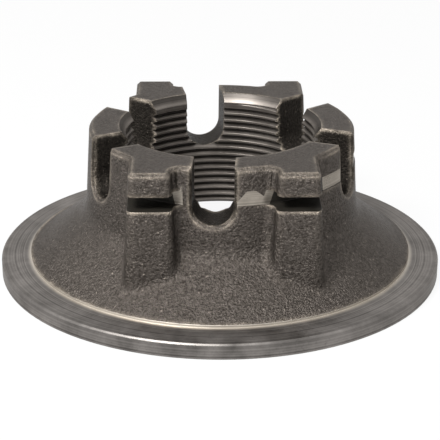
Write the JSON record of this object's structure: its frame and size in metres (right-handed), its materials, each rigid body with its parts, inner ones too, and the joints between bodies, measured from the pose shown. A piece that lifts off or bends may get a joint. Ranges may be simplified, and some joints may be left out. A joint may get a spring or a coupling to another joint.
{
  "type": "flanged castle nut",
  "caption": "One-piece flanged castle nut with a dished base, wrench lugs, a fine internal thread and open slots in its crown for a locking pin.",
  "frame": {"origin": "centre of the underside, on the thread axis, in the plane of the seating face", "axes": "+Z along the thread axis, up towards the slotted crown; the wrench faces are square to Y"},
  "size_m": [0.118, 0.118, 0.0395],
  "materials": {
    "forged_steel": "shot-blasted forging, dark grey-brown, with bright turned bands"
  },
  "bodies": {
    "root": {"castle_nut": "forged_steel"}
  },
  "joints": []
}
